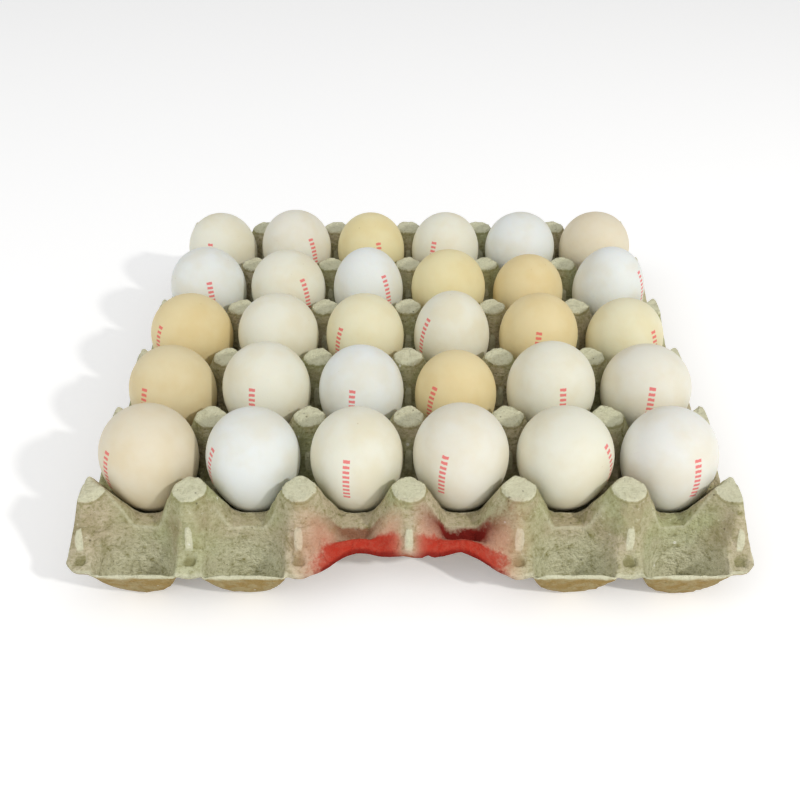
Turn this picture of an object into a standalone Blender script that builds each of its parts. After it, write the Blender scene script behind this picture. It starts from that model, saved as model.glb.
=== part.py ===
"""A thirty-egg tray of moulded paper pulp, and the thirty eggs standing in it.

The tray is one moulding: a thin wall that dips into a cup for each egg and rises into a hollow post at
each corner of a cup. Five rows of six cups fill the middle, a row of half cups borders the front and the
back, and the two middle half cups at each end stop short, which leaves a finger notch. Each egg is a solid
of its own that lifts straight out of its cup.

Metres, +Z up, origin on the table under the middle of the tray. Rows count from the front, -Y, and columns
from the left, -X.
"""

import math

import bmesh
import bpy

MM = 0.001

# The tray's driving dimensions.
PITCH = 48 * MM  # cup to cup, both ways
ROWS, COLUMNS = 5, 6
WALL = 2.4 * MM
POST_TOP = 50 * MM
CAP_RADIUS = 7.5 * MM  # the flat top of a post
LEDGE_HEIGHT = 29 * MM  # the low saddle between two posts
RIM_HEIGHT = 25 * MM  # the tray's outer edge
FLOOR_RADIUS = 8.5 * MM
LEDGE_RADIUS = 19.4 * MM  # a cup's radius where it meets the ledges
SIDE_LIP = 7 * MM  # from the outermost post centres to the side edges
END_LIP = 3.5 * MM  # from the half cups' centre line to the front and back edges
CORNER_RADIUS = 9 * MM

HALF_PITCH = PITCH / 2
HALF_WIDTH = COLUMNS * HALF_PITCH + SIDE_LIP
LAST_POST_Y = ROWS * HALF_PITCH  # the outermost row of whole posts
END_CUP_Y = LAST_POST_Y + HALF_PITCH  # the centre line of the half cups
END_WALL_SLOPE = 2.6  # the half cups' outer wall, rise over run
END_WALL_LEAN = WALL * END_WALL_SLOPE / math.hypot(1, END_WALL_SLOPE)  # the wall's own depth along Y
HALF_DEPTH = END_CUP_Y + END_LIP - END_WALL_LEAN  # where that wall's inner face meets the rim

# Slopes, as rise over run.
POST_SLOPE = 2.05
CUP_SLOPE = (LEDGE_HEIGHT - WALL) / (LEDGE_RADIUS - FLOOR_RADIUS)
CUP_SLOPE_ABOVE_LEDGE = 2.9
SIDE_SLOPE = 2.78

# The finger notch, between the posts either side of the middle one.
NOTCH_HALF_WIDTH = PITCH
NOTCH_START_Y = LAST_POST_Y + 7 * MM
NOTCH_PEAK_X = 22 * MM  # where the edge is furthest back
NOTCH_DEPTH, NOTCH_DEPTH_MIDDLE = 11.5 * MM, 7 * MM
NOTCH_PEAK_HEIGHT, NOTCH_MIDDLE_HEIGHT = 29 * MM, 26.5 * MM
NOTCH_TROUGH = 3.5 * MM
NOTCH_RIDGE_WIDTH = 5 * MM

# Eggs by grade: diameter, length, and how much wider the upper half is than the lower. U eggs point up.
EGG_GRADES = {
    "S": (41.5 * MM, 54.5 * MM, 0.13),
    "M": (43 * MM, 56.5 * MM, 0.13),
    "L": (44.2 * MM, 57 * MM, 0.13),
    "R": (44.2 * MM, 53.5 * MM, 0.12),
    "U": (42 * MM, 55 * MM, -0.07),
}
# One line for each row from the front, one letter for each column from the left.
GRADE_LAYOUT = ("LMMLRM", "MLMSLR", "RRMUMS", "LRURSU", "MLMMRR")
SHELL_LAYOUT = ("PBIKIW", "NIBTIK", "TICITC", "BIBYTB", "IKYIBP")
SHELLS = {
    "B": ("shell_bluish_white", (0.80, 0.82, 0.84, 1)),
    "W": ("shell_white", (0.81, 0.79, 0.76, 1)),
    "I": ("shell_ivory", (0.78, 0.76, 0.65, 1)),
    "C": ("shell_cream", (0.76, 0.69, 0.47, 1)),
    "Y": ("shell_straw", (0.74, 0.64, 0.38, 1)),
    "T": ("shell_tan", (0.70, 0.53, 0.30, 1)),
    "N": ("shell_sand", (0.72, 0.60, 0.41, 1)),
    "P": ("shell_peach", (0.74, 0.61, 0.48, 1)),
    "K": ("shell_blush", (0.76, 0.68, 0.61, 1)),
}
EGG_CLEARANCE = 0.8 * MM
EGG_STEPS = 16
EGG_PROFILE_POINTS = 9
SEAT_POINTS = 60

# Grid stations from a post's centre to a cup's centre, and the circles that they are drawn to.
STATIONS = (0, HALF_PITCH - LEDGE_RADIUS, 11.5 * MM, 17.5 * MM, HALF_PITCH)
END_STATIONS = (0, HALF_PITCH - LEDGE_RADIUS, 11.5 * MM, 15.5 * MM, 18 * MM)
POST_RINGS = (0, CAP_RADIUS, 11.8 * MM)
CUP_RINGS = (FLOOR_RADIUS, 0)
FIRST_CUP_RING = len(POST_RINGS)
FOOT_BAND = 0.9 * MM  # the underside this near the table is pressed flat on it


def clear_scene():
    for obj in list(bpy.data.objects):
        bpy.data.objects.remove(obj, do_unlink=True)


def material(name, color, roughness):
    made = bpy.data.materials.new(name)
    made.use_nodes = True
    shader = made.node_tree.nodes["Principled BSDF"]
    shader.inputs["Base Color"].default_value = color
    shader.inputs["Roughness"].default_value = roughness
    shader.inputs["Metallic"].default_value = 0
    return made


def from_nearest(value, first, spacing):
    """Distance to the nearest of the points first, first + spacing and so on."""
    offset = (value - first) % spacing
    return min(offset, spacing - offset)


def post_height(distance):
    return min(POST_TOP, POST_TOP - (distance - CAP_RADIUS) * POST_SLOPE)


def cup_height(distance):
    below = max(WALL, WALL + (distance - FLOOR_RADIUS) * CUP_SLOPE)
    above = LEDGE_HEIGHT + (distance - LEDGE_RADIUS) * CUP_SLOPE_ABOVE_LEDGE
    return max(below, above)


def notch_edge(x):
    """How far the edge is set back at x, and its height."""
    along = abs(x)
    if along < NOTCH_PEAK_X:
        swell = math.sin(math.pi / 2 * along / NOTCH_PEAK_X) ** 2
        depth = NOTCH_DEPTH_MIDDLE + (NOTCH_DEPTH - NOTCH_DEPTH_MIDDLE) * swell
        return depth, NOTCH_MIDDLE_HEIGHT + (NOTCH_PEAK_HEIGHT - NOTCH_MIDDLE_HEIGHT) * swell
    fall = math.cos(math.pi / 2 * (along - NOTCH_PEAK_X) / (NOTCH_HALF_WIDTH - NOTCH_PEAK_X)) ** 2
    return NOTCH_DEPTH * fall, RIM_HEIGHT + (NOTCH_PEAK_HEIGHT - RIM_HEIGHT) * fall


def in_notch(x, y):
    return abs(x) < NOTCH_HALF_WIDTH and abs(y) > NOTCH_START_Y


def notch_height(x, y):
    """The shallow trough that runs out to the notch's edge, and the ridges that cross it under the posts."""
    depth, edge_height = notch_edge(x)
    share = (abs(y) - NOTCH_START_Y) / (HALF_DEPTH - depth - NOTCH_START_Y)
    share = min(max(share, 0), 1)
    ridge = LEDGE_HEIGHT + (edge_height - LEDGE_HEIGHT) * share
    to_ridge = from_nearest(x, 0, PITCH) / NOTCH_RIDGE_WIDTH
    open_share = 1 - math.exp(-to_ridge * to_ridge)
    return ridge - NOTCH_TROUGH * math.sin(math.pi * share) * open_share


def tray_height(x, y):
    """Height of the tray's upper surface."""
    to_post_x = from_nearest(x, 0, PITCH)
    to_post_y = from_nearest(min(abs(y), END_CUP_Y), HALF_PITCH, PITCH)
    if abs(y) > LAST_POST_Y:
        to_post_y = abs(y) - LAST_POST_Y
    to_cup_x = HALF_PITCH - to_post_x
    to_cup_y = abs(HALF_PITCH - to_post_y)
    post = post_height(math.hypot(to_post_x, to_post_y))
    run_out = (abs(y) - NOTCH_START_Y) / (HALF_DEPTH - NOTCH_START_Y)
    ledge = LEDGE_HEIGHT - (LEDGE_HEIGHT - RIM_HEIGHT) * max(0, run_out)
    side = RIM_HEIGHT + (HALF_WIDTH - abs(x)) * SIDE_SLOPE
    if in_notch(x, y):
        return min(max(post, notch_height(x, y)), side)
    cup = cup_height(math.hypot(to_cup_x, to_cup_y))
    end_wall = RIM_HEIGHT - (HALF_DEPTH - abs(y)) * END_WALL_SLOPE
    return min(max(cup, end_wall), max(post, ledge), side)


def station_line(first_is_post, half_cells, edge, end_stations=()):
    """(coordinate, station index) pairs from one edge of the tray to the other."""
    line = []
    for cell in range(half_cells):
        up = first_is_post == (cell % 2 == 0)
        order = range(len(STATIONS)) if up else range(len(STATIONS) - 1, -1, -1)
        for index in order:
            offset = STATIONS[index] if up else HALF_PITCH - STATIONS[index]
            if not (cell and offset == 0):
                line.append((cell * HALF_PITCH + offset, index))
    for index, offset in enumerate(end_stations):
        if index:
            line.append((half_cells * HALF_PITCH + offset, index))
    line.append((edge, line[-1][1]))
    return [(-place, index) for place, index in reversed(line[1:])] + line


def drawn_to_circles(x, y, x_station, y_station):
    """Grid squares around a post's top and a cup's floor become circles."""
    outer = max(x_station, y_station)
    inner = min(x_station, y_station)
    if outer < FIRST_CUP_RING:
        centre_x = round(x / PITCH) * PITCH
        centre_y = (round(y / PITCH - 0.5) + 0.5) * PITCH
        radius = POST_RINGS[outer]
    elif inner >= FIRST_CUP_RING and abs(y) < LAST_POST_Y:
        centre_x = (round(x / PITCH - 0.5) + 0.5) * PITCH
        centre_y = round(y / PITCH) * PITCH
        radius = CUP_RINGS[inner - FIRST_CUP_RING]
    else:
        return x, y
    offset_x, offset_y = x - centre_x, y - centre_y
    length = math.hypot(offset_x, offset_y)
    if length == 0:
        return x, y
    return centre_x + offset_x * radius / length, centre_y + offset_y * radius / length


def inside_outline(x, y):
    """Draws the edge in: along the sides at the posts, round the corners and into the notches."""
    inner_x, inner_y = HALF_WIDTH - CORNER_RADIUS, HALF_DEPTH - CORNER_RADIUS
    over_x, over_y = abs(x) - inner_x, abs(y) - inner_y
    if over_x > 0 and over_y > 0:
        share = max(over_x, over_y) / math.hypot(over_x, over_y)
        x = math.copysign(inner_x + over_x * share, x)
        y = math.copysign(inner_y + over_y * share, y)
    if in_notch(x, y):
        depth, _ = notch_edge(x)
        share = (abs(y) - NOTCH_START_Y) / (HALF_DEPTH - NOTCH_START_Y)
        y = math.copysign(abs(y) - depth * share, y)
    return x, y


def place_vertex(x, x_station, y, y_station):
    """The point of the upper surface for one crossing of the grid's lines."""
    side_cap = HALF_WIDTH - (POST_TOP - RIM_HEIGHT) / SIDE_SLOPE
    on_lip = abs(x) == HALF_WIDTH or abs(y) == HALF_DEPTH
    if not on_lip:
        x, y = drawn_to_circles(x, y, x_station, y_station)
        if y_station < 2:
            x = math.copysign(min(abs(x), side_cap), x)
    x, y = inside_outline(x, y)
    return x, y, tray_height(x, y)


def make_tray():
    columns = station_line(True, COLUMNS, HALF_WIDTH)
    rows = station_line(False, ROWS, HALF_DEPTH, END_STATIONS)
    bpy.ops.mesh.primitive_grid_add(
        x_subdivisions=len(columns) - 1, y_subdivisions=len(rows) - 1, size=2
    )
    sheet = bpy.context.object
    for vertex in sheet.data.vertices:
        column = round((vertex.co.x + 1) / 2 * (len(columns) - 1))
        row = round((vertex.co.y + 1) / 2 * (len(rows) - 1))
        vertex.co = place_vertex(*columns[column], *rows[row])
    wall = sheet.modifiers.new("wall", "SOLIDIFY")
    wall.thickness = WALL
    wall.offset = -1
    wall.use_even_offset = True
    wall.thickness_clamp = 1
    graph = bpy.context.evaluated_depsgraph_get()
    mesh = bpy.data.meshes.new_from_object(sheet.evaluated_get(graph))
    bpy.data.objects.remove(sheet, do_unlink=True)
    for vertex in mesh.vertices:
        if vertex.co.z < FOOT_BAND:
            vertex.co.z = 0
    mesh.name = "pulp_tray"
    mesh.shade_smooth()
    mesh.set_sharp_from_angle(angle=math.radians(40))
    tray = bpy.data.objects.new("pulp_tray", mesh)
    tray.data.materials.clear()
    tray.data.materials.append(material("moulded_pulp", (0.36, 0.36, 0.22, 1), 0.95))
    return tray


def egg_profile(diameter, length, top_heavy, points):
    """(radius, height above the egg's middle) from its top to its bottom."""
    for index in range(points):
        angle = math.pi * index / (points - 1)
        radius = diameter / 2 * math.sin(angle) * (1 + top_heavy * math.cos(angle))
        yield max(0, radius), length / 2 * math.cos(angle)


def seat_height(diameter, length, top_heavy):
    """Height of the egg's middle when it rests on the ledges and between the posts."""
    lift = WALL + EGG_CLEARANCE + length / 2
    for radius, height in egg_profile(diameter, length, top_heavy, SEAT_POINTS):
        reach = radius + EGG_CLEARANCE
        if height < 0:
            seat = min(cup_height(reach), post_height(math.sqrt(2) * HALF_PITCH - reach))
            lift = max(lift, seat - height)
    return lift


def egg_mesh(grade):
    """A turned solid: the half profile screwed round the egg's axis."""
    diameter, length, top_heavy = EGG_GRADES[grade]
    mesh = bpy.data.meshes.new("egg_profile_" + grade)
    profile = [(r, 0, z) for r, z in egg_profile(diameter, length, top_heavy, EGG_PROFILE_POINTS)]
    profile[0] = (0, 0, length / 2)
    profile[-1] = (0, 0, -length / 2)
    mesh.from_pydata(profile, [(i, i + 1) for i in range(len(profile) - 1)], [])
    guide = bpy.data.objects.new("egg_profile_" + grade, mesh)
    bpy.context.scene.collection.objects.link(guide)
    turn = guide.modifiers.new("turn", "SCREW")
    turn.axis = "Z"
    turn.steps = EGG_STEPS
    turn.render_steps = EGG_STEPS
    turn.use_merge_vertices = True
    turn.merge_threshold = 0.0001
    turn.use_normal_calculate = True
    graph = bpy.context.evaluated_depsgraph_get()
    turned = bpy.data.meshes.new_from_object(guide.evaluated_get(graph))
    bpy.data.objects.remove(guide, do_unlink=True)
    round_up = bmesh.new()
    round_up.from_mesh(turned)
    bmesh.ops.recalc_face_normals(round_up, faces=round_up.faces)
    round_up.to_mesh(turned)
    round_up.free()
    turned.shade_smooth()
    return turned


def make_eggs():
    shapes = {grade: egg_mesh(grade) for grade in EGG_GRADES}
    shells = {key: material(name, color, 0.45) for key, (name, color) in SHELLS.items()}
    eggs = []
    for row in range(ROWS):
        for column in range(COLUMNS):
            grade = GRADE_LAYOUT[row][column]
            egg = bpy.data.objects.new(f"egg_row{row + 1}_col{column + 1}", shapes[grade].copy())
            egg.data.materials.clear()
            egg.data.materials.append(shells[SHELL_LAYOUT[row][column]])
            egg.location = (
                (column - (COLUMNS - 1) / 2) * PITCH,
                (row - (ROWS - 1) / 2) * PITCH,
                seat_height(*EGG_GRADES[grade]),
            )
            eggs.append(egg)
    return eggs


def main():
    clear_scene()
    carton = bpy.data.collections.new("egg_carton")
    bpy.context.scene.collection.children.link(carton)
    for obj in [make_tray(), *make_eggs()]:
        carton.objects.link(obj)


main()
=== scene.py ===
"""An egg tray of moulded paper pulp with thirty hen's eggs standing in it.

Metres, +Z up. Front is -Y. Rows of cups count from the front and columns from the left.
"""

import math

import bpy
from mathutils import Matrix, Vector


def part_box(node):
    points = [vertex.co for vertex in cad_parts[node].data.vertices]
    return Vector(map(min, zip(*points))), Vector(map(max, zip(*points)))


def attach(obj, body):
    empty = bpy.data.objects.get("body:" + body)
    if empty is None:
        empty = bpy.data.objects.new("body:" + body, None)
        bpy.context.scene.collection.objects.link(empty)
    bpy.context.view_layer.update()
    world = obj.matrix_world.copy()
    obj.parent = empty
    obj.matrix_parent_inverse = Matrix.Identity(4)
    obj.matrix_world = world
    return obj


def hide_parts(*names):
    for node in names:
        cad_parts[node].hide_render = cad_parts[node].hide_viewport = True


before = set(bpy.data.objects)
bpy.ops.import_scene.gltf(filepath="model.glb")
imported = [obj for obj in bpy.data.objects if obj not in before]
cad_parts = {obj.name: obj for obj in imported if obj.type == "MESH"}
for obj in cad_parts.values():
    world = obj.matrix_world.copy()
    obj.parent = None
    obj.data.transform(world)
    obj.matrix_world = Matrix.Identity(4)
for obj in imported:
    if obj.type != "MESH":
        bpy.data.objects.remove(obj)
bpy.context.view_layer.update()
MM = 0.001

# ------------------------------------------------------------------------------------------------
# The tray. One sheet of grey-green paper pulp, sucked onto a wire mould and dried: cups, hollow posts
# between them, half cups along the front and back, and a finger notch in the middle of both edges.
# The mould presses the post tops flat and leaves a small rib at the foot of each post.
# ------------------------------------------------------------------------------------------------

tray_low, tray_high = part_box("pulp_tray")
PITCH = 48 * MM
WALL = 2.4 * MM
END_WALL_SLOPE = 2.6  # the half cups' outer wall, rise over run
RIM_WALL = 1.1 * MM  # the wall thins out towards the rim
END_WALL_LEAN = RIM_WALL * END_WALL_SLOPE / math.hypot(1, END_WALL_SLOPE)
TRAY_SIZES = {
    "Pitch": PITCH,
    "Half Width": tray_high[0],
    "Half Depth": tray_high[1] - END_WALL_LEAN,
    "Outer Half Depth": tray_high[1],
    "Wall": WALL,
    "Rim Wall": RIM_WALL,
    "Post Top": tray_high[2],
    "Cap Radius": 7.5 * MM,
    "Ledge Height": 29 * MM,
    "Rim Height": 25 * MM,
    "Floor Radius": 8.5 * MM,
    "Ledge Radius": 19.4 * MM,
    "Corner Radius": 9 * MM,
    "Warp": 0.8 * MM,
    "Grain": 0.6 * MM,
}
SHEET_POINTS_ACROSS, SHEET_POINTS_ALONG = 200, 240
GATHERING = 0.35 * PITCH / math.tau  # how far the sheet's points are drawn towards the lines of posts
LAST_POST_X, LAST_POST_Y = 3 * PITCH, 2.5 * PITCH
SIDE_CAP_X = LAST_POST_X - 3.4 * MM  # the side posts' tops are pressed a little nearer the eggs
POST_SLOPE = 2.05
CUP_SLOPE_ABOVE_LEDGE = 2.9
SIDE_SLOPE, SIDE_SLOPE_AT_POSTS = 2.78, 3.7
SIDE_POST_HALF_WIDTH = 10 * MM
CAP_OUTLINE_WOBBLE, CAP_UNEVENNESS = 2.6 * MM, 0.7 * MM
FLOOR_BLEND, END_WALL_BLEND, POST_BLEND = 7 * MM, 4 * MM, 5 * MM  # how softly surfaces meet
CREST_BLEND, LEDGE_BLEND, SIDE_BLEND = 1.2 * MM, 2 * MM, 3.5 * MM

NOTCH_START = LAST_POST_Y + 7 * MM
NOTCH_PEAK_X = 22 * MM
NOTCH_DEPTH, NOTCH_DEPTH_MIDDLE = 11.5 * MM, 7 * MM
NOTCH_PEAK_HEIGHT, NOTCH_MIDDLE_HEIGHT = 29 * MM, 26.5 * MM
HEM_START = LAST_POST_Y + 4 * MM  # where the ledge ends and the notch's fold begins
HEM_FOLD, HEM_ROLL, HEM_BLEND = 5 * MM, 5 * MM, 3 * MM
TORN_LEFT, TORN_MORE_RIGHT = 0.8 * MM, 2.2 * MM

RIB_REACH, RIB_LENGTH, RIB_HEIGHT = 16.2 * MM, 2.7 * MM, 3.2 * MM  # reach is from the post's centre
DENT_REACH, DENT_LENGTH, DENT_DEPTH = 20.8 * MM, 1.6 * MM, 2.8 * MM
LIP_DROP, RIM_SAG, WRINKLE_DEPTH = 4.8 * MM, 2.4 * MM, 0.4 * MM
BUMP_DEPTH = 1.5 * MM

PULP_GREEN = (0.50, 0.51, 0.29, 1)
PULP_WARM = (0.60, 0.52, 0.36, 1)
PULP_DARK = (0.26, 0.24, 0.09, 1)
PULP_PALE = (0.74, 0.73, 0.53, 1)
# Painted shade for faces that look down.
PULP_UNDER_SHADE = (0.31, 0.197, 0.05, 1)
PULP_DAMP = (0.42, 0.35, 0.21, 1)
FLECK_WHITE = (0.86, 0.85, 0.76, 1)
FLECK_DARK = (0.12, 0.10, 0.05, 1)
DYE_PINK = (0.68, 0.28, 0.20, 1)
DYE_RED = (0.49, 0.034, 0.016, 1)
# The dye as it looks in shade: painted shade for the notch's folds and torn edge.
DYE_RED_IN_SHADE = (0.19, 0.006, 0.004, 1)
DYE_BROWN_IN_SHADE = (0.27, 0.10, 0.05, 1)


class Sum:
    """A number worked out inside a node tree, so that a formula there can be written with plain signs."""

    def __init__(self, tree, socket):
        self.tree, self.socket = tree, socket

    def work(self, operation, *others, clamp=False):
        node = self.tree.nodes.new("ShaderNodeMath")
        node.operation = operation
        node.use_clamp = clamp
        for place, part in zip(node.inputs, (self, *others)):
            if isinstance(part, Sum):
                self.tree.links.new(part.socket, place)
            else:
                place.default_value = part
        return Sum(self.tree, node.outputs[0])

    def __add__(self, other):
        return self.work("ADD", other)

    def __sub__(self, other):
        return self.work("SUBTRACT", other)

    def __rsub__(self, other):
        return self * -1 + other

    def __mul__(self, other):
        return self.work("MULTIPLY", other)

    def __truediv__(self, other):
        return self.work("DIVIDE", other)

    def size(self):
        return self.work("ABSOLUTE")

    def sign(self):
        return self.work("SIGN")

    def least(self, other, blend=0):
        return self.work("SMOOTH_MIN", other, blend) if blend else self.work("MINIMUM", other)

    def most(self, other, blend=0):
        return self.work("SMOOTH_MAX", other, blend) if blend else self.work("MAXIMUM", other)

    def held(self):
        """No less than 0 and no more than 1."""
        return self.work("MULTIPLY", 1, clamp=True)

    def over(self, other):
        """1 where this is more than the other, otherwise 0."""
        return self.work("GREATER_THAN", other)

    def share(self, start, end):
        """How far this has got from start, 0, to end, 1, and no further."""
        return ((self - start) / (end - start)).held()

    def soft_share(self, start, end):
        """The same, easing in and out. Start and end may be either way round."""
        t = self.share(start, end)
        return t * t * (3 - t * 2)

    def bell(self, centre, width):
        """1 at the centre, dying away over the width either side."""
        t = (self - centre) / width
        return (t * t * -1).work("EXPONENT")

    def length(self, other):
        return (self * self + other * other).work("SQRT")

    def mix(self, first, second):
        """The first where this is 0, the second where it is 1."""
        return (1 - self) * first + self * second


def add(tree, kind, **settings):
    node = tree.nodes.new(kind)
    for key, value in settings.items():
        setattr(node, key, value)
    return node


def geometry_tree(name, sizes):
    """A geometry tree with one named number in for each size and a mesh out."""
    tree = bpy.data.node_groups.new(name, "GeometryNodeTree")
    tree.interface.new_socket("Mesh", in_out="OUTPUT", socket_type="NodeSocketGeometry")
    for title in sizes:
        tree.interface.new_socket(title, in_out="INPUT", socket_type="NodeSocketFloat")
    inputs = add(tree, "NodeGroupInput")
    return tree, {title: Sum(tree, inputs.outputs[title]) for title in sizes}


def grow(name, tree, sizes, material):
    """A plain mesh object from a geometry tree, its sizes and its one material."""
    made = bpy.data.objects.new(name, bpy.data.meshes.new(name))
    bpy.context.scene.collection.objects.link(made)
    growth = made.modifiers.new("growth", "NODES")
    growth.node_group = tree
    for item in tree.interface.items_tree:
        if item.in_out == "INPUT":
            growth[item.identifier] = float(sizes[item.name])
    graph = bpy.context.evaluated_depsgraph_get()
    mesh = bpy.data.meshes.new_from_object(made.evaluated_get(graph))
    made.modifiers.remove(growth)
    mesh.materials.clear()
    mesh.materials.append(material)
    mesh.polygons.foreach_set("material_index", [0] * len(mesh.polygons))
    made.data = mesh
    mesh.shade_smooth()
    return made


def axes_of(tree, vector):
    node = add(tree, "ShaderNodeSeparateXYZ")
    tree.links.new(vector, node.inputs[0])
    return [Sum(tree, out) for out in node.outputs]


def joined(tree, *parts):
    node = add(tree, "ShaderNodeCombineXYZ")
    for place, part in zip(node.inputs, parts):
        tree.links.new(part.socket, place)
    return node.outputs[0]


def noise(tree, scale, detail, seed, vector=None, rough=0.5, swirl=0.0):
    """Cloudy noise, 0 to 1, with its cells 1 / scale metres across."""
    node = add(tree, "ShaderNodeTexNoise", noise_dimensions="4D")
    node.inputs["W"].default_value = seed
    node.inputs["Scale"].default_value = scale
    node.inputs["Detail"].default_value = detail
    node.inputs["Roughness"].default_value = rough
    node.inputs["Distortion"].default_value = swirl
    if vector:
        tree.links.new(vector, node.inputs["Vector"])
    return Sum(tree, node.outputs[0])


def stored(tree, mesh, name, value):
    node = add(tree, "GeometryNodeStoreNamedAttribute", data_type="FLOAT", domain="POINT")
    node.inputs["Name"].default_value = name
    tree.links.new(mesh, node.inputs["Geometry"])
    tree.links.new(value.socket, node.inputs["Value"])
    return node.outputs[0]


def moved(tree, mesh, position=None, offset=None):
    node = add(tree, "GeometryNodeSetPosition")
    tree.links.new(mesh, node.inputs["Geometry"])
    if position:
        tree.links.new(position, node.inputs["Position"])
    if offset:
        tree.links.new(offset, node.inputs["Offset"])
    return node.outputs[0]


def scaled(tree, vector, amount):
    node = add(tree, "ShaderNodeVectorMath", operation="SCALE")
    tree.links.new(vector, node.inputs[0])
    tree.links.new(amount.socket, node.inputs["Scale"])
    return node.outputs[0]


def finish_tree(tree, mesh, material):
    whole = add(tree, "GeometryNodeRealizeInstances")
    coat = add(tree, "GeometryNodeSetMaterial")
    coat.inputs["Material"].default_value = material
    tree.links.new(mesh, whole.inputs[0])
    tree.links.new(whole.outputs[0], coat.inputs["Geometry"])
    tree.links.new(coat.outputs[0], add(tree, "NodeGroupOutput").inputs[0])


def walled(tree, mesh, wall, rim_wall):
    """The sheet and the same sheet a wall's thickness lower, joined round its thinner rim."""
    even = add(tree, "GeometryNodeBlurAttribute", data_type="FLOAT_VECTOR")
    even.inputs["Iterations"].default_value = 3
    tree.links.new(add(tree, "GeometryNodeInputNormal").outputs[0], even.inputs["Value"])
    unit = add(tree, "ShaderNodeVectorMath", operation="NORMALIZE")
    tree.links.new(even.outputs["Value"], unit.inputs[0])
    kept = add(tree, "GeometryNodeCaptureAttribute", domain="POINT")
    kept.capture_items.new("VECTOR", "up")
    tree.links.new(mesh, kept.inputs["Geometry"])
    tree.links.new(unit.outputs[0], kept.inputs["up"])
    turned = add(tree, "GeometryNodeFlipFaces")
    tree.links.new(kept.outputs["Geometry"], turned.inputs[0])
    lower = add(tree, "GeometryNodeExtrudeMesh", mode="FACES")
    lower.inputs["Individual"].default_value = False
    lower.inputs["Offset Scale"].default_value = 1
    tree.links.new(turned.outputs[0], lower.inputs["Mesh"])
    to_rim = add(tree, "GeometryNodeInputNamedAttribute", data_type="FLOAT")
    to_rim.inputs["Name"].default_value = "to_rim"
    thickness = Sum(tree, to_rim.outputs[0]).soft_share(5 * MM, 0.5 * MM).mix(wall, rim_wall)
    tree.links.new(scaled(tree, kept.outputs["up"], thickness * -1), lower.inputs["Offset"])
    shell = add(tree, "GeometryNodeJoinGeometry")
    tree.links.new(lower.outputs["Mesh"], shell.inputs[0])
    tree.links.new(kept.outputs["Geometry"], shell.inputs[0])
    weld = add(tree, "GeometryNodeMergeByDistance")
    weld.inputs["Distance"].default_value = 0.01 * MM
    tree.links.new(shell.outputs[0], weld.inputs["Geometry"])
    return weld.outputs[0]


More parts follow.
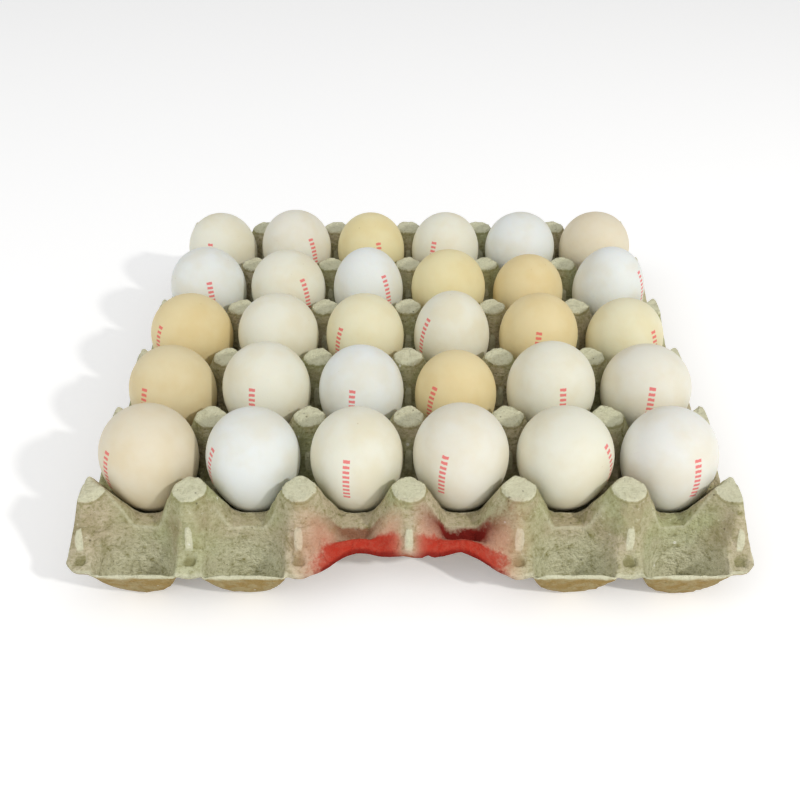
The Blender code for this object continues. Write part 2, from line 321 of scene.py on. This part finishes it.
def tray_tree(material):
    tree, size = geometry_tree("moulded_sheet", TRAY_SIZES)
    pitch, half_width, half_depth = size["Pitch"], size["Half Width"], size["Half Depth"]
    grid = add(tree, "GeometryNodeMeshGrid")
    grid.inputs["Vertices X"].default_value = SHEET_POINTS_ACROSS
    grid.inputs["Vertices Y"].default_value = SHEET_POINTS_ALONG
    tree.links.new((half_width * 2).socket, grid.inputs["Size X"])
    tree.links.new((half_depth * 2).socket, grid.inputs["Size Y"])
    flat_x, flat_y, _ = axes_of(tree, add(tree, "GeometryNodeInputPosition").outputs[0])
    wave_x = (flat_x / pitch * math.tau).work("SINE") * (1 - flat_x.size().over(LAST_POST_X))
    wave_y = (flat_y / pitch * math.tau).work("SINE") * (1 - flat_y.size().over(LAST_POST_Y))
    flat_x = flat_x - wave_x * GATHERING
    flat_y = flat_y + wave_y * GATHERING

    # The outline: rounded corners, and the notches cut back between the middle posts.
    over_x = flat_x.size() - half_width + size["Corner Radius"]
    over_y = flat_y.size() - half_depth + size["Corner Radius"]
    in_corner = over_x.over(0) * over_y.over(0)
    drawn_in = in_corner * (over_x.most(over_y) / over_x.length(over_y) - 1)
    across = flat_x.size() + drawn_in * over_x
    square_y = flat_y.size() + drawn_in * over_y
    x = across * flat_x.sign()
    swell = (across * (math.pi / 2 / NOTCH_PEAK_X)).work("SINE")
    swell = swell * swell
    fall = ((across - NOTCH_PEAK_X) * (math.pi / 2 / (PITCH - NOTCH_PEAK_X))).work("COSINE")
    fall = fall * fall
    outside_peak = across.over(NOTCH_PEAK_X)
    inside_notch = 1 - across.over(pitch)
    depth = outside_peak.mix(
        swell * (NOTCH_DEPTH - NOTCH_DEPTH_MIDDLE) + NOTCH_DEPTH_MIDDLE, fall * NOTCH_DEPTH
    )
    depth = depth * inside_notch
    torn = flat_x.soft_share(-2 * MM, 10 * MM) * TORN_MORE_RIGHT + TORN_LEFT
    tatter = (noise(tree, 100, 2, seed=4) - 0.42).size() * torn * (depth / NOTCH_DEPTH) * 2.2
    reach = square_y - (depth + tatter) * square_y.share(NOTCH_START, half_depth)
    y = reach * flat_y.sign()

    # Distances to the nearest post and cup.
    to_post_x = (x - (x / pitch).work("ROUND") * pitch).size()
    nearest = (((reach / pitch).work("FLOOR") + 0.5) * pitch).least(LAST_POST_Y)
    to_post_y = (reach - nearest).size()
    to_cap_x = across.over(LAST_POST_X - PITCH / 2).mix(to_post_x, (across - SIDE_CAP_X).size())
    wobble = (noise(tree, 150, 3, seed=1) - 0.5) * CAP_OUTLINE_WOBBLE
    from_post = to_cap_x.length(to_post_y) + wobble
    from_cup = (pitch * 0.5 - to_post_x).length(pitch * 0.5 - to_post_y)

    # The heights of the pieces of surface that meet to make the sheet.
    ledge_height, rim_height = size["Ledge Height"], size["Rim Height"]
    cap_height = size["Post Top"] - noise(tree, 190, 2, seed=9) * CAP_UNEVENNESS
    post = size["Post Top"] - (from_post - size["Cap Radius"]) * POST_SLOPE
    post = post.least(cap_height, 0.4 * MM)
    cup_slope = (ledge_height - size["Wall"]) / (size["Ledge Radius"] - size["Floor Radius"])
    below = (from_cup - size["Floor Radius"]) * cup_slope + size["Wall"]
    below = below.most(size["Wall"], FLOOR_BLEND)
    above = (from_cup - size["Ledge Radius"]) * CUP_SLOPE_ABOVE_LEDGE + ledge_height
    end_wall = (reach - half_depth) * END_WALL_SLOPE + rim_height
    cup = below.most(above).most(end_wall, END_WALL_BLEND)
    at_side_post = to_post_y.bell(0, SIDE_POST_HALF_WIDTH)
    side_slope = at_side_post * (SIDE_SLOPE_AT_POSTS - SIDE_SLOPE) + SIDE_SLOPE
    side = rim_height - (across - half_width) * side_slope
    ledge = ledge_height - (ledge_height - rim_height) * reach.share(NOTCH_START, half_depth)
    common = cup.least(post, POST_BLEND).most(cup.least(ledge, CREST_BLEND), LEDGE_BLEND)

    # The notch: a fold behind a rounded band that rolls over at the torn edge.
    edge_rise = outside_peak.mix(
        swell * (NOTCH_PEAK_HEIGHT - NOTCH_MIDDLE_HEIGHT) + NOTCH_MIDDLE_HEIGHT,
        fall * (NOTCH_PEAK_HEIGHT - TRAY_SIZES["Rim Height"]) + TRAY_SIZES["Rim Height"],
    )
    along = reach.share(HEM_START, half_depth - depth)
    open_share = 1 - to_post_x.bell(0, 6 * MM)
    fold = along.bell(0.30, 0.16) * HEM_FOLD + along.soft_share(0.62, 1.0) * HEM_ROLL
    hem = ledge_height + (edge_rise - ledge_height) * along - fold * open_share
    notch = post.most(hem, HEM_BLEND)
    in_notch = inside_notch * reach.over(LAST_POST_Y)
    height = in_notch.mix(common, notch).least(side, SIDE_BLEND)

    # The mould's small rib at the foot of each post, front and back, the dent past it, and the lip
    # where a ridge runs out over the rim.
    on_ridge = to_post_x.soft_share(3.1 * MM, 1.4 * MM)
    rib = on_ridge * to_post_y.bell(RIB_REACH, RIB_LENGTH)
    dent = on_ridge * to_post_y.bell(DENT_REACH, DENT_LENGTH)
    to_rim = half_depth - depth - reach
    between_notch_and_corner = across.soft_share(40 * MM, 47 * MM) * (1 - across.over(5 * PITCH / 2))
    lip = to_post_x.bell(0, 7 * MM) * to_rim.soft_share(3.4 * MM, 0.2 * MM) * between_notch_and_corner
    sag = to_rim.soft_share(12 * MM, 0) * noise(tree, 36, 2, seed=12) * RIM_SAG
    height = height + rib * RIB_HEIGHT - dent * DENT_DEPTH - lip * LIP_DROP - sag

    # What the material needs to know.
    in_front = 1 - y.over(0)
    mesh = grid.outputs["Mesh"]
    for title, value in (
        ("from_post", from_post + (size["Post Top"] - height - 2 * MM).most(0)),
        ("hollow", (height / ledge_height).share(1.0, 0.2)),
        ("to_crest", (cup - ledge.most(post)).most(-10 * MM).least(10 * MM) + in_notch * PITCH),
        ("off_ridge", to_post_x),
        ("dye_run", in_front * along),
        ("rib", rib),
        ("dent", dent),
        ("to_rim", to_rim.least(half_width - across).least(PITCH)),
    ):
        mesh = stored(tree, mesh, title, value)
    mesh = moved(tree, mesh, position=joined(tree, x, y, height))

    # Uneven drying: the sheet sinks a little here and there, always away from the eggs.
    wrinkle = noise(tree, 34, 2, seed=8, swirl=1.5).bell(0.5, 0.03) * WRINKLE_DEPTH
    grain = noise(tree, 290, 3, seed=3) * size["Grain"]
    warp = noise(tree, 45, 2, seed=2) * size["Warp"] + grain + wrinkle
    mesh = moved(
        tree, mesh, offset=scaled(tree, add(tree, "GeometryNodeInputNormal").outputs[0], warp * -1)
    )
    mesh = walled(tree, mesh, size["Wall"], size["Rim Wall"])

    # It stands on the flat undersides of its cups.
    x, y, z = axes_of(tree, add(tree, "GeometryNodeInputPosition").outputs[0])
    outer = size["Outer Half Depth"]
    inside = joined(
        tree, x.most(half_width * -1).least(half_width), y.most(outer * -1).least(outer), z.most(0.0)
    )
    finish_tree(tree, moved(tree, mesh, position=inside), material)
    return tree


def new_material(name, roughness):
    made = bpy.data.materials.new(name)
    made.use_nodes = True
    shader = made.node_tree.nodes["Principled BSDF"]
    shader.inputs["Roughness"].default_value = roughness
    return made, made.node_tree, shader


def attribute(tree, name):
    return Sum(tree, add(tree, "ShaderNodeAttribute", attribute_name=name).outputs["Fac"])


def blended(tree, amount, first, second):
    """A colour between two: colours are sockets or plain values."""
    node = add(tree, "ShaderNodeMix", data_type="RGBA")
    tree.links.new(amount.socket, node.inputs["Factor"])
    for place, color in (("A", first), ("B", second)):
        socket = next(s for s in node.inputs if s.name == place and s.type == "RGBA")
        if isinstance(color, tuple):
            socket.default_value = color
        else:
            tree.links.new(color, socket)
    return next(s for s in node.outputs if s.type == "RGBA")


def spots(tree, place, scale, radius, seed):
    """Scattered round specks, 1 inside one, each radius of a cell across."""
    node = add(tree, "ShaderNodeTexVoronoi", voronoi_dimensions="4D", feature="F1")
    node.inputs["W"].default_value = seed
    node.inputs["Scale"].default_value = scale
    tree.links.new(place, node.inputs["Vector"])
    return Sum(tree, node.outputs["Distance"]).soft_share(radius, radius * 0.6)


def bumped(tree, shader, height, depth):
    node = add(tree, "ShaderNodeBump")
    node.inputs["Strength"].default_value = 1
    node.inputs["Distance"].default_value = depth
    tree.links.new(height.socket, node.inputs["Height"])
    tree.links.new(node.outputs[0], shader.inputs["Normal"])


def dyed(tree, place, color, grain, cloud):
    """The red dye sprayed along the front notch, fading out into pink, with painted shade over it in the
    notch's folds and along its torn edge.
    """
    x, _, _ = axes_of(tree, place)
    run = attribute(tree, "dye_run")
    ragged = run + (cloud - 0.5) * 0.5 + (grain - 0.5) * 0.22
    off_middle = 1 - x.bell(0, 5 * MM) * run.soft_share(1.15, 0.85)
    reach_out = x.size().soft_share(57 * MM, 37 * MM)
    present = run.soft_share(0.0, 0.12)
    mist = ragged.soft_share(0.04, 0.60) * reach_out * off_middle * present
    color = blended(tree, mist * 0.62, color, DYE_PINK)
    drift = x.size().share(52 * MM, 30 * MM) * 1.3 + (grain - 0.5) * 1.1 + (cloud - 0.5) * 0.8
    off_peak = (x.size() - NOTCH_PEAK_X) / (20 * MM)
    narrowed = ragged - off_peak * off_peak * 0.22
    band = narrowed.soft_share(0.44, 0.58) * drift.soft_share(0.30, 1.05) * off_middle * present
    color = blended(tree, band * (grain.soft_share(0.75, 0.35) * 0.15 + 0.84), color, DYE_RED)
    # Painted shade: the dye painted darker in the notch's fold, brown on the left and deep red on the right.
    left = ragged.bell(0.20, 0.14) * x.bell(-NOTCH_PEAK_X - 2 * MM, 10 * MM)
    color = blended(tree, (left * present * 1.4).held() * 0.85, color, DYE_BROWN_IN_SHADE)
    right = ragged.bell(0.30, 0.22) * x.bell(NOTCH_PEAK_X + 2 * MM, 14 * MM)
    color = blended(tree, (right * present * 1.6).held() * 0.98, color, DYE_RED_IN_SHADE)
    # Painted shade: the dye painted dark along the torn edge, where the sheet curls under.
    edge_shade = attribute(tree, "to_rim").soft_share(1.8 * MM, 0.8 * MM) * band
    return blended(tree, edge_shade * 0.75, color, DYE_RED_IN_SHADE)


def pulp_material():
    made, tree, shader = new_material("moulded_pulp", 0.95)
    shader.inputs["Specular IOR Level"].default_value = 0.15
    place = add(tree, "ShaderNodeTexCoord").outputs["Object"]
    patch = noise(tree, 26, 2, 8, place)
    cloud = noise(tree, 80, 3, 1, place)
    lumps = noise(tree, 190, 3, 15, place, 0.6)
    grain = noise(tree, 480, 4, 2, place, 0.7)
    crumb = noise(tree, 1300, 2, 7, place)
    lay = add(tree, "ShaderNodeMapping")
    lay.inputs["Rotation"].default_value = (0.3, 0.5, 0.6)
    lay.inputs["Scale"].default_value = (1, 4, 2.5)
    tree.links.new(place, lay.inputs["Vector"])
    fibre = noise(tree, 300, 3, 3, lay.outputs[0], 0.7)
    crease = noise(tree, 26, 3, 10, place, 0.5, 0.8).bell(0.5, 0.012) * patch.soft_share(0.48, 0.60)

    # The pulp itself: patches of green and warm grey, speckled with darker fibre, with painted light and
    # painted shade worked in.
    color = blended(tree, patch.soft_share(0.40, 0.60), PULP_GREEN, PULP_WARM)
    color = blended(tree, cloud.soft_share(0.45, 0.70) * 0.7, color, PULP_DAMP)
    # Painted light: down in the hollows the pulp is painted paler and cooler, where the lamps reach less.
    color = blended(tree, (attribute(tree, "hollow") * 1.7).held() * 0.85, color, PULP_PALE)
    speckle = grain.soft_share(0.46, 0.70) * 0.5 + fibre.soft_share(0.48, 0.70) * 0.45
    speckle = speckle + lumps.soft_share(0.50, 0.68) * 0.4 + crumb.soft_share(0.55, 0.80) * 0.25
    color = blended(tree, speckle.held(), color, PULP_DARK)
    color = blended(tree, grain.soft_share(0.44, 0.26) * 0.7, color, PULP_PALE)
    # Painted shade: darker in the dent past each rib and along the creases.
    color = blended(tree, attribute(tree, "dent").soft_share(0.2, 0.8) * 0.7, color, PULP_DARK)
    color = blended(tree, crease * 0.3, color, PULP_DARK)

    # Paler where it has been rubbed, and on the caps and ribs where the mould pressed them, with a painted
    # highlight there; a painted shade line under each cap, and painted shade, browner, on faces that look
    # down.
    from_post = attribute(tree, "from_post") + (cloud - 0.5) * (1.6 * MM)
    # Painted shade: a dark line round each post just under the edge of its cap.
    color = blended(tree, from_post.bell(9.1 * MM, 0.6 * MM) * 0.5, color, PULP_DARK)
    at_ledge = attribute(tree, "off_ridge").soft_share(9 * MM, 13 * MM)
    worn = attribute(tree, "to_crest").bell(0.6 * MM, 2 * MM) * at_ledge * 0.5
    worn = worn + attribute(tree, "to_rim").soft_share(1.6 * MM, 0.9 * MM) * 0.7
    # Caps and ribs are painted paler: pressed by the mould, and a painted highlight on their tops.
    pressed_and_highlit = from_post.soft_share(8.3 * MM, 7.9 * MM) + attribute(tree, "rib").soft_share(0.40, 0.60)
    mottled = grain.soft_share(0.80, 0.42) * 0.5 + 0.5
    color = blended(tree, (worn + pressed_and_highlit).held() * mottled * 0.9, color, PULP_PALE)
    # Painted shade: faces that look down are painted a darker brown.
    _, _, facing = axes_of(tree, add(tree, "ShaderNodeNewGeometry").outputs["Normal"])
    underside_shade = facing.soft_share(0.05, -0.25) * (lumps.soft_share(0.68, 0.38) * 0.3 + 0.62)
    color = blended(tree, underside_shade, color, PULP_UNDER_SHADE)

    # Flecks of old print and white paper, and the dye over everything.
    dark = spots(tree, place, 300, 0.20, 5) * cloud.soft_share(0.40, 0.55)
    pale = spots(tree, place, 150, 0.15, 6) * cloud.soft_share(0.58, 0.48)
    color = blended(tree, dark * 0.65, color, FLECK_DARK)
    color = blended(tree, pale * 0.9, color, FLECK_WHITE)
    color = dyed(tree, place, color, grain, cloud)
    tree.links.new(color, shader.inputs["Base Color"])
    relief = grain * 0.8 + fibre * 0.5 + crumb * 0.35 + lumps * 1.3 - crease * 0.3
    bumped(tree, shader, relief, BUMP_DEPTH)
    return made


pulp = pulp_material()
tray = grow("pulp_tray_fine", tray_tree(pulp), TRAY_SIZES, pulp)
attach(tray, "tray")
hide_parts("pulp_tray")

# ------------------------------------------------------------------------------------------------
# The eggs. Thirty hen's eggs, laid by different hens, so the shells run from bluish white to tan, with
# fine pores and a few freckles. They stand loose in the cups, nearly all of them pointed end down.
# A row of short red dashes is printed up one side of each.
# ------------------------------------------------------------------------------------------------

EGG_ROWS, EGG_COLUMNS = 5, 6
POINTED_DOWN, EVEN_ENDED = 0.13, 0.02  # how far an egg narrows towards its bottom end
EGG_WIDEST = 1.008  # an egg's widest ring over its width at half height
EGG_SEGMENTS, EGG_RINGS = 56, 36
# One letter for each egg, rows from the front, columns from the left.
SHELL_LAYOUT = ("PBIKIW", "NIBTIK", "TICITC", "BIBYTB", "IKYIBP")
EVEN_ENDED_LAYOUT = ("......", "......", "...e..", "..e..e", "......")
DASH_LAYOUT = ("badchf", "cddbed", "b.badg", "fgg..h", "dgfc..")
# Degrees that the printed side is turned from the front, to the right.
DASH_TURNS = {"a": -56, "b": -42, "c": -26, "d": -10, "e": 6, "f": 18, "g": 38, "h": 58, ".": 175}
SHELL_TINTS = {
    "B": ("shell_bluish_white", (0.79, 0.82, 0.80, 1)),
    "W": ("shell_white", (0.82, 0.82, 0.77, 1)),
    "I": ("shell_ivory", (0.80, 0.79, 0.67, 1)),
    "C": ("shell_cream", (0.80, 0.76, 0.54, 1)),
    "Y": ("shell_straw", (0.80, 0.72, 0.43, 1)),
    "T": ("shell_tan", (0.78, 0.66, 0.38, 1)),
    "N": ("shell_sand", (0.75, 0.65, 0.41, 1)),
    "P": ("shell_peach", (0.77, 0.70, 0.54, 1)),
    "K": ("shell_blush", (0.79, 0.77, 0.67, 1)),
}
# Deeper shell colour in the clouds, and painted shade towards the bottom of each egg.
DEEPER_SHELL_AND_SHADE = (0.95, 0.90, 0.80, 1)  # times the tint, in clouds and towards the bottom
FRECKLE = (0.40, 0.27, 0.13, 1)
DASH_RED = (0.80, 0.09, 0.10, 1)
DASH_STEP, DASH_HALF_WIDTH = 2.3 * MM, 1.7 * MM
DASH_MIDDLE, DASH_HALF_RUN = 8.5 * MM, 10.35 * MM  # up from the egg's middle
EGG_SIZES = ("Centre X", "Centre Y", "Centre Z", "Diameter", "Length", "Pointedness", "Dash Turn")


def egg_tree(material):
    tree, size = geometry_tree("egg", EGG_SIZES)
    ball = add(tree, "GeometryNodeMeshUVSphere")
    ball.inputs["Segments"].default_value = EGG_SEGMENTS
    ball.inputs["Rings"].default_value = EGG_RINGS
    ball.inputs["Radius"].default_value = 1
    x, y, z = axes_of(tree, add(tree, "GeometryNodeInputPosition").outputs[0])
    radius = size["Diameter"] * 0.5 * (z * size["Pointedness"] + 1)
    height = z * size["Length"] * 0.5
    # Where the dashes are printed: across and up from the egg's middle, on the side that it faces.
    sine, cosine = size["Dash Turn"].work("SINE"), size["Dash Turn"].work("COSINE")
    mesh = ball.outputs["Mesh"]
    mesh = stored(tree, mesh, "dash_across", (x * cosine + y * sine) * radius)
    mesh = stored(tree, mesh, "dash_up", height)
    mesh = stored(tree, mesh, "dash_side", x * sine - y * cosine)
    placed = joined(
        tree, x * radius + size["Centre X"], y * radius + size["Centre Y"], height + size["Centre Z"]
    )
    finish_tree(tree, moved(tree, mesh, position=placed), material)
    return tree


def dashes(tree, fine):
    """1 inside a printed dash, with ragged edges where the ink spread."""
    across, up = attribute(tree, "dash_across"), attribute(tree, "dash_up")
    step = (up - DASH_MIDDLE) / DASH_STEP
    ragged = (fine - 0.5) * 0.3
    ink = ((step - step.work("ROUND")).size() + ragged).soft_share(0.34, 0.22)
    ink = ink * (across.size() + ragged * MM).soft_share(DASH_HALF_WIDTH, DASH_HALF_WIDTH - 0.3 * MM)
    ink = ink * (up - DASH_MIDDLE).size().soft_share(DASH_HALF_RUN, DASH_HALF_RUN - 0.3 * MM)
    return ink * attribute(tree, "dash_side").over(0.2)


def shell_material(name, tint):
    made, tree, shader = new_material(name, 0.55)
    shader.inputs["Specular IOR Level"].default_value = 0.25
    shader.inputs["Subsurface Weight"].default_value = 0.12
    shader.inputs["Subsurface Radius"].default_value = (1, 0.7, 0.45)
    shader.inputs["Subsurface Scale"].default_value = 2 * MM
    place = add(tree, "ShaderNodeTexCoord").outputs["Object"]
    cloud = noise(tree, 55, 3, 11, place)
    fine = noise(tree, 900, 2, 12, place)
    deeper_and_shaded = tuple(part * depth for part, depth in zip(tint, DEEPER_SHELL_AND_SHADE))
    color = blended(tree, cloud.soft_share(0.38, 0.68) * 0.8, tint, deeper_and_shaded)
    # Painted shade: each egg is painted deeper towards its bottom.
    lower = attribute(tree, "dash_up").soft_share(12 * MM, -22 * MM)
    color = blended(tree, lower * 0.6, color, deeper_and_shaded)
    freckles = spots(tree, place, 260, 0.13, 14) * cloud.soft_share(0.50, 0.62)
    color = blended(tree, freckles * 0.35, color, FRECKLE)
    color = blended(tree, dashes(tree, fine) * 0.8, color, DASH_RED)
    tree.links.new(color, shader.inputs["Base Color"])
    pores = spots(tree, place, 1400, 0.32, 13)
    bumped(tree, shader, fine * 0.35 - pores * 0.5, 0.12 * MM)
    return made


shells = {key: shell_material(name, tint) for key, (name, tint) in SHELL_TINTS.items()}
egg_trees = {key: egg_tree(shell) for key, shell in shells.items()}
for row in range(EGG_ROWS):
    for column in range(EGG_COLUMNS):
        node = f"egg_row{row + 1}_col{column + 1}"
        low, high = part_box(node)
        tint = SHELL_LAYOUT[row][column]
        sizes = {
            "Centre X": (low[0] + high[0]) / 2,
            "Centre Y": (low[1] + high[1]) / 2,
            "Centre Z": (low[2] + high[2]) / 2,
            "Diameter": (high[0] - low[0]) / EGG_WIDEST,
            "Length": high[2] - low[2],
            "Pointedness": EVEN_ENDED if EVEN_ENDED_LAYOUT[row][column] == "e" else POINTED_DOWN,
            "Dash Turn": math.radians(DASH_TURNS[DASH_LAYOUT[row][column]]),
        }
        egg = grow(node + "_fine", egg_trees[tint], sizes, shells[tint])
        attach(egg, node + "_body")
        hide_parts(node)

# ------------------------------------------------------------------------------------------------
# The table, the light and the camera. A white table under a lamp to the right and a little in front,
# with the rest of the light coming softly from all round.
# ------------------------------------------------------------------------------------------------

TABLE_WHITE = (0.95, 0.95, 0.95, 1)
TABLE_GLOW = 0.2  # lifts the table towards plain white
TABLE_REACH = 3
SKY_STRENGTH = 0.56
CAMERA_PLACE = (-0.0007, -0.3582, 0.2993)
CAMERA_TURNS = (49.94, 0.38, 0.36)
CAMERA_LENS, CAMERA_SENSOR = 35.44, 36


def lamp(name, place, across, power, color):
    light = bpy.data.lights.new(name, "AREA")
    light.shape = "DISK"
    light.size = across
    light.energy = power
    light.color = color
    made = bpy.data.objects.new(name, light)
    bpy.context.scene.collection.objects.link(made)
    made.location = place
    made.rotation_euler = (-made.location).to_track_quat("-Z", "Y").to_euler()
    return made


table = bpy.data.meshes.new("table")
corners = [(a * TABLE_REACH, b * TABLE_REACH, 0) for a, b in ((-1, -1), (1, -1), (1, 1), (-1, 1))]
table.from_pydata(corners, [], [(0, 1, 2, 3)])
table_top = bpy.data.objects.new("table", table)
bpy.context.scene.collection.objects.link(table_top)
table_paint, _, table_shader = new_material("table_white", 0.8)
table_shader.inputs["Base Color"].default_value = TABLE_WHITE
table_shader.inputs["Emission Color"].default_value = (1, 1, 1, 1)
table_shader.inputs["Emission Strength"].default_value = TABLE_GLOW
table.materials.append(table_paint)
key = lamp("key", (0.96, -0.75, 0.95), 0.09, 8.8, (1, 0.98, 0.94))
fill = lamp("fill", (-1.0, -0.7, 1.2), 1.6, 7, (0.97, 0.98, 1))

sky = bpy.data.worlds.new("soft_sky")
sky.use_nodes = True
sky.node_tree.nodes["Background"].inputs["Color"].default_value = (1, 1, 1, 1)
sky.node_tree.nodes["Background"].inputs["Strength"].default_value = SKY_STRENGTH
bpy.context.scene.world = sky
bpy.context.scene.view_settings.view_transform = "Standard"

camera_lens = bpy.data.cameras.new("camera")
camera_lens.lens = CAMERA_LENS
camera_lens.sensor_width = CAMERA_SENSOR
camera = bpy.data.objects.new("camera", camera_lens)
camera.location = CAMERA_PLACE
camera.rotation_euler = [math.radians(turn) for turn in CAMERA_TURNS]
bpy.context.scene.collection.objects.link(camera)
bpy.context.scene.camera = camera
